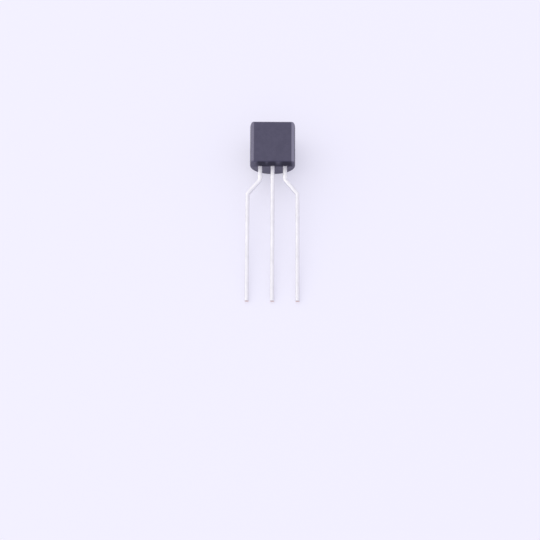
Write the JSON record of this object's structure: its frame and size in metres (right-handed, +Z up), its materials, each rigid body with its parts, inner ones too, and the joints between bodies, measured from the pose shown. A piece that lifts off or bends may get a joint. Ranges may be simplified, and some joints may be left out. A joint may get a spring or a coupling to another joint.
{
  "type": "shunt voltage regulator",
  "caption": "Shunt voltage regulator in a black moulded package, round at the back and flat at the front, with tinned leads bent to a wider pitch.",
  "frame": {"origin": "on the surface that the part lies on, below the middle of its box", "axes": "+Z up, +Y along the part towards the end of the body away from the leads, +X across the leads towards the cathode lead"},
  "size_m": [0.0054, 0.019, 0.0041],
  "materials": {
    "black_epoxy": "matte moulded epoxy, finely spark-eroded grain",
    "tinned_lead": "bright matte tin plate",
    "silicon": "polished",
    "silver_epoxy": "matte, silver filled",
    "gold_wire": "drawn"
  },
  "bodies": {
    "root": {"moulded_body": "black_epoxy", "reference_lead": "tinned_lead", "anode_lead": "tinned_lead", "cathode_lead": "tinned_lead", "die": "silicon", "die_attach": "silver_epoxy", "reference_wire": "gold_wire", "anode_wire": "gold_wire", "cathode_wire": "gold_wire"}
  },
  "joints": []
}
